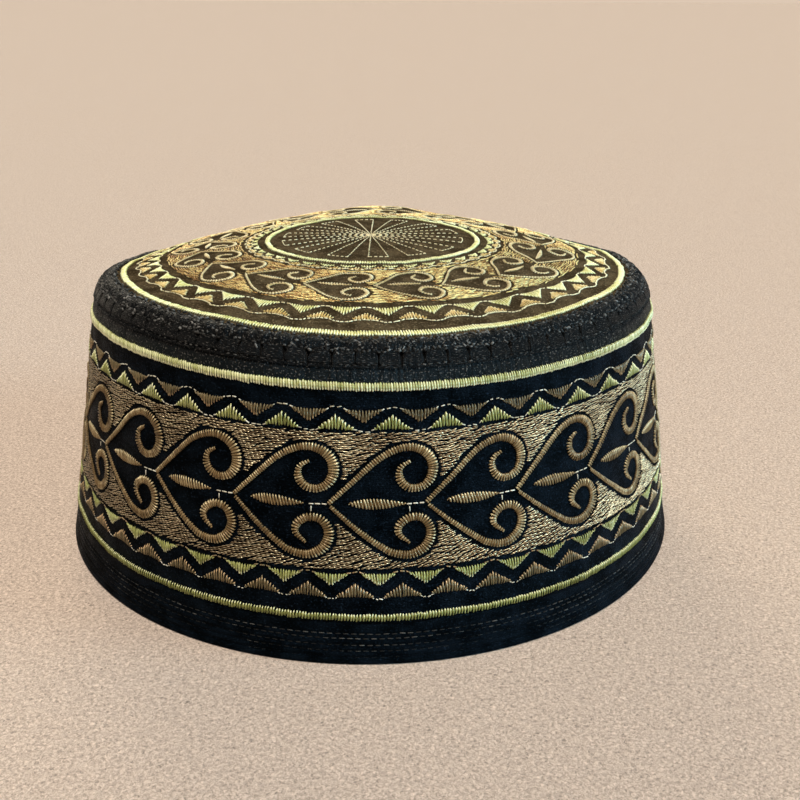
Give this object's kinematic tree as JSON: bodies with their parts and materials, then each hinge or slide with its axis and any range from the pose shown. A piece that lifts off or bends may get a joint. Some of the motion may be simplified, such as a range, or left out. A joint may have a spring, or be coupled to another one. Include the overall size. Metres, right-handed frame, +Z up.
{
  "type": "prayer cap",
  "caption": "Round embroidered prayer cap with a tapering side wall, a pleated shoulder strip, an overcast seam and a shallow domed crown, open underneath for the head.",
  "frame": {"origin": "centre of the rim, at the level of its flat underside", "axes": "+Z up through the crown; the side seen in the picture faces -Y; +X is to its right"},
  "size_m": [0.19, 0.19, 0.0868],
  "materials": {
    "black_satin": "black satin cloth, soft sheen",
    "crown_satin": "brown-black satin cloth, soft sheen",
    "black_thread": "glossy black overcasting thread",
    "gold_thread": "metallic gold embroidery thread",
    "yellow_green_thread": "yellow-green embroidery thread, satin sheen",
    "bronze_thread": "bronze embroidery thread, satin sheen",
    "cream_thread": "cream embroidery thread, satin sheen"
  },
  "bodies": {
    "root": {"hem": "black_satin", "side_band": "black_satin", "pleated_strip": "black_satin", "seam_welt": "black_thread", "crown": "crown_satin"}
  },
  "joints": []
}
